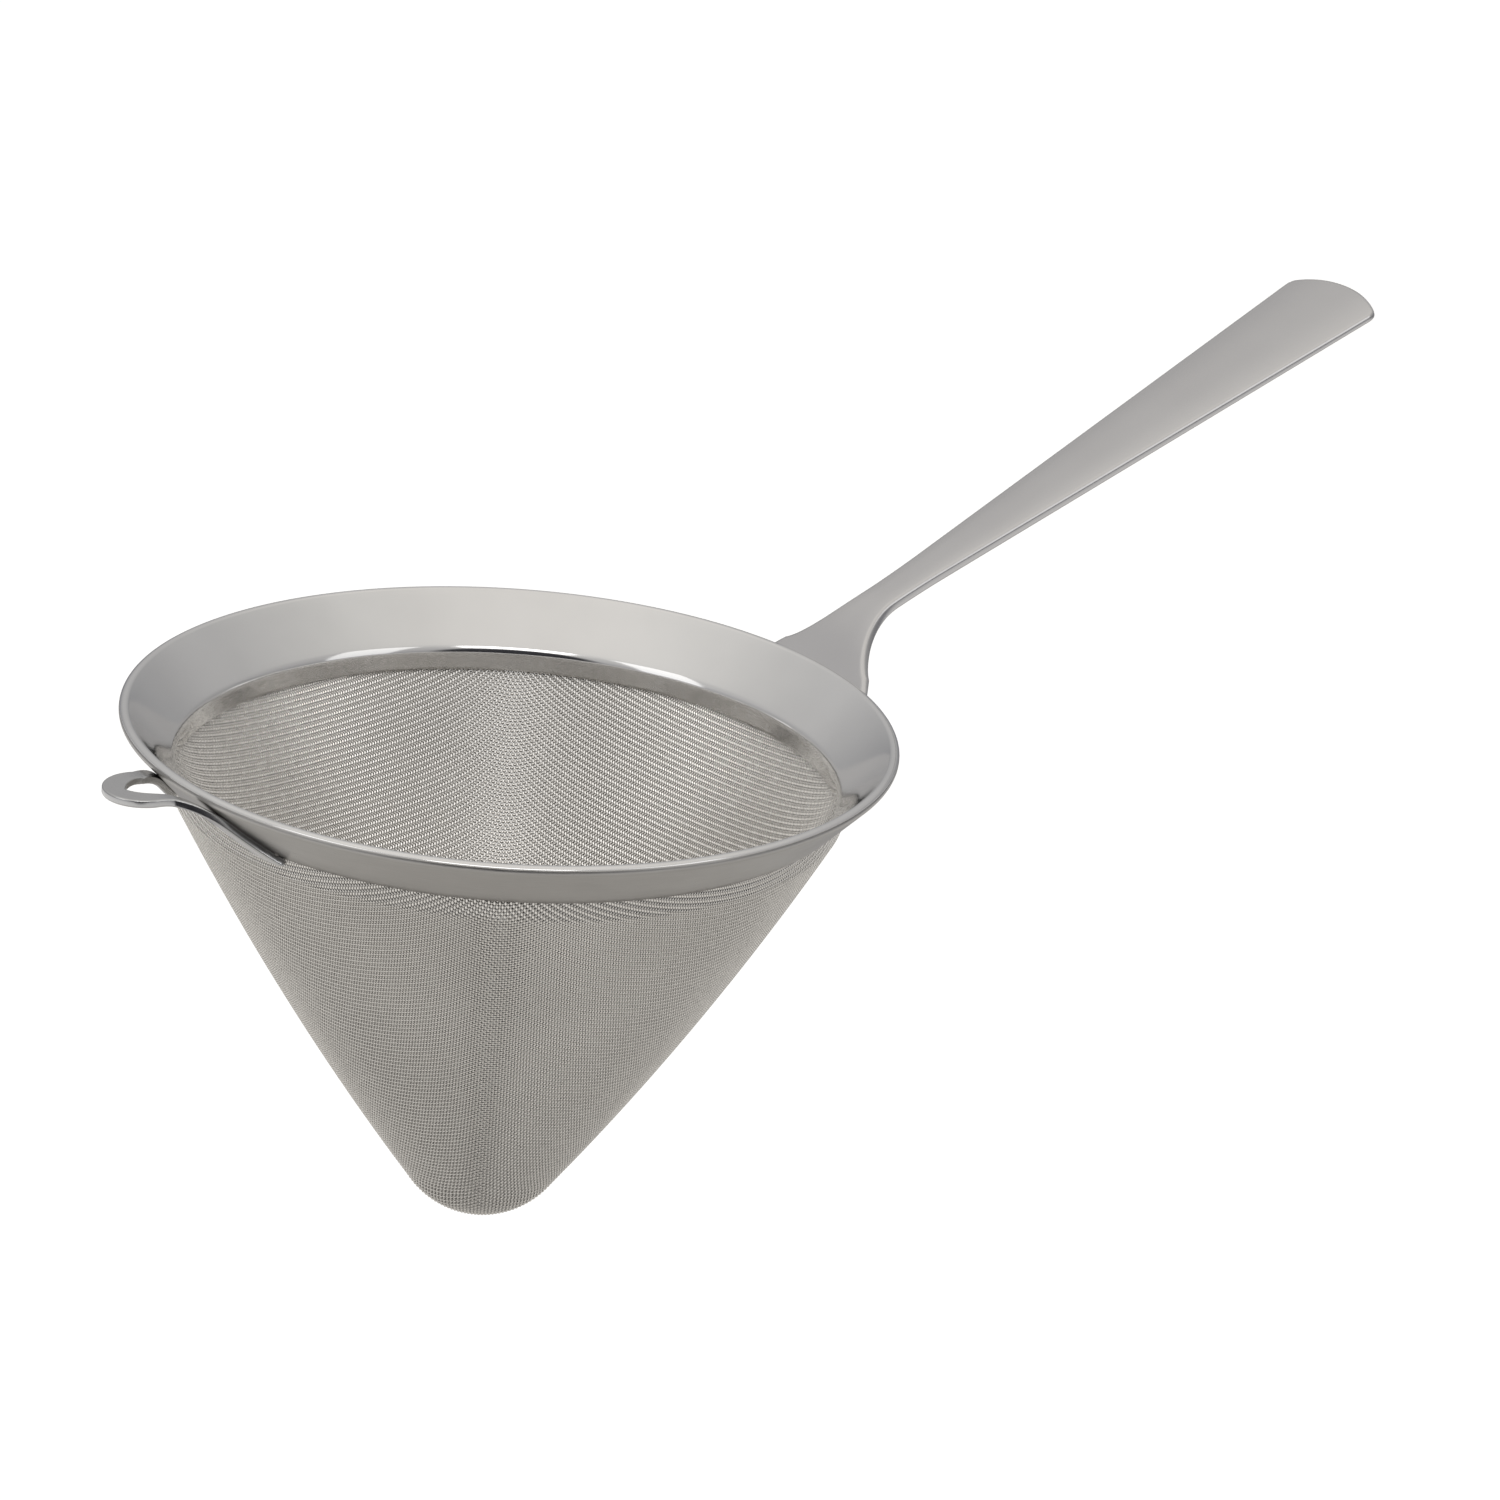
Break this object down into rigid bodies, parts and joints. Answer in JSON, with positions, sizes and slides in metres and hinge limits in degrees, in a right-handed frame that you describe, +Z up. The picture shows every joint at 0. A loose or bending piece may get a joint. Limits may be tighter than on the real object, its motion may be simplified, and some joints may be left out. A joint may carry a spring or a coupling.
{
  "type": "conical tea strainer",
  "caption": "Conical fine-mesh strainer with a wide polished funnel rim, a pointed hanging loop and a rising flat handle that widens towards its end.",
  "frame": {"origin": "on the cone's axis, in the plane of the rim's crest", "axes": "+Z up along the cone's axis, away from the tip; +X towards the handle; the hanging loop is on -X"},
  "size_m": [0.2, 0.1, 0.1134],
  "materials": {
    "polished_steel": "polished stainless steel",
    "brushed_rim": "stainless steel, fine lines around the rim",
    "wire_cloth": "drawn stainless steel wire, woven",
    "satin_handle": "satin stainless steel, softly polished edges",
    "loop_steel": "satin stainless steel",
    "weld": "bare weld metal"
  },
  "bodies": {
    "root": {"rim_funnel": "polished_steel", "rim_backing": "brushed_rim", "mesh_cone": "wire_cloth", "handle": "satin_handle", "handle_welds": "weld", "hanging_loop": "loop_steel", "loop_welds": "weld"}
  },
  "joints": []
}
